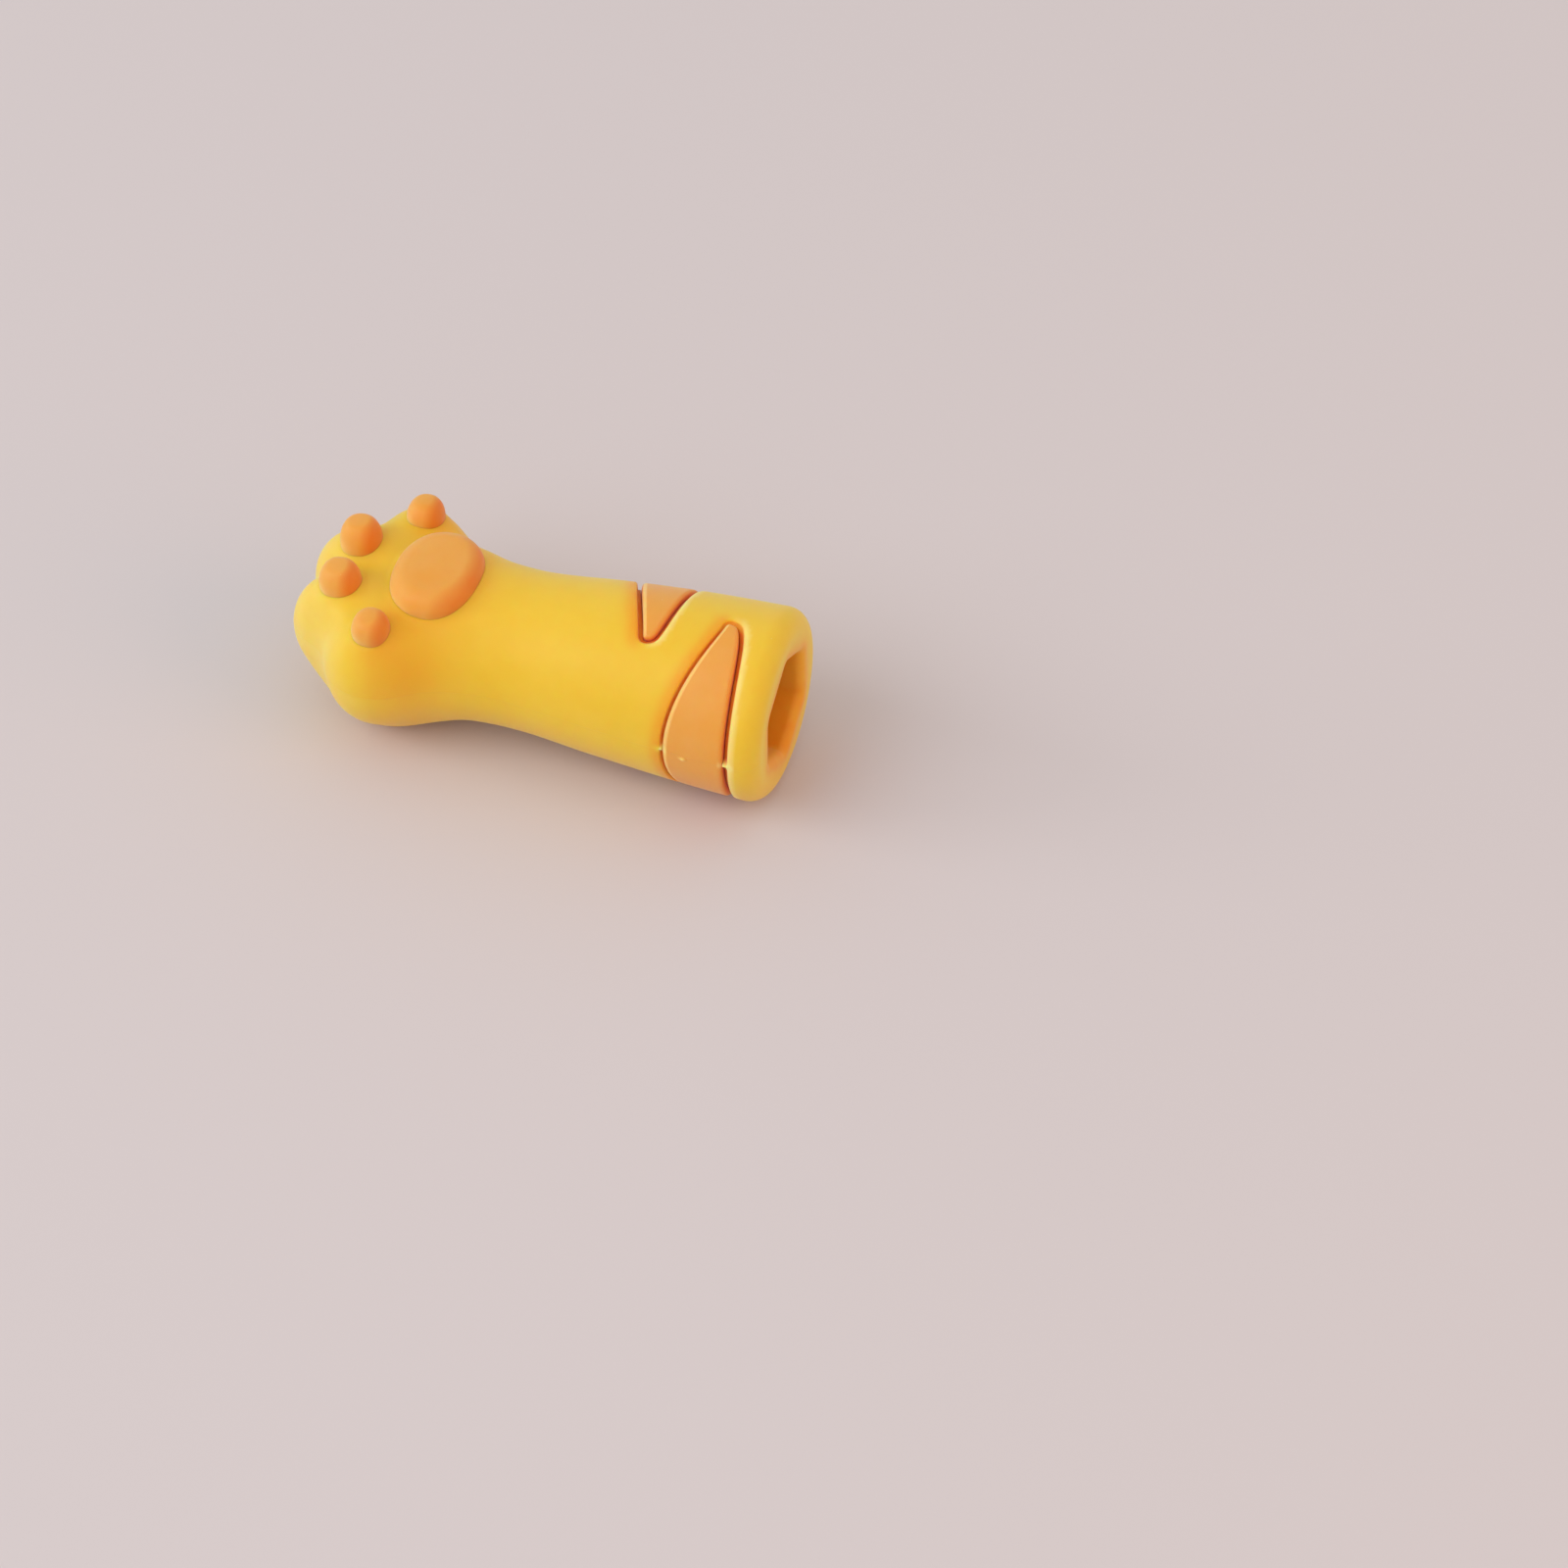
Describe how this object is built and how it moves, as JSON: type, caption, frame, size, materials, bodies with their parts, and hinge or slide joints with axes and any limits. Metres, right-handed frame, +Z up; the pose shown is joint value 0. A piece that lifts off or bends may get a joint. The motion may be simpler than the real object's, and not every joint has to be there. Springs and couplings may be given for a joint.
{
  "type": "pencil extender",
  "caption": "Soft silicone cat-paw sleeve, lying palm up, with tan pads, tan inlaid stripes and a hexagonal socket in its open end.",
  "frame": {"origin": "middle of the underside, on the surface that the part lies on", "axes": "+X along the socket towards its open end, +Y across the paw, +Z up out of the palm"},
  "size_m": [0.0354, 0.017, 0.014],
  "materials": {
    "yellow_silicone": "soft matt silicone with a faint sheen",
    "tan_silicone": "soft matt silicone with a faint sheen"
  },
  "bodies": {
    "root": {"paw_body": "yellow_silicone", "palm_pad": "tan_silicone", "near_outer_toe_pad": "tan_silicone", "near_inner_toe_pad": "tan_silicone", "far_inner_toe_pad": "tan_silicone", "far_outer_toe_pad": "tan_silicone", "near_stripe": "tan_silicone", "far_stripe": "tan_silicone"}
  },
  "joints": []
}
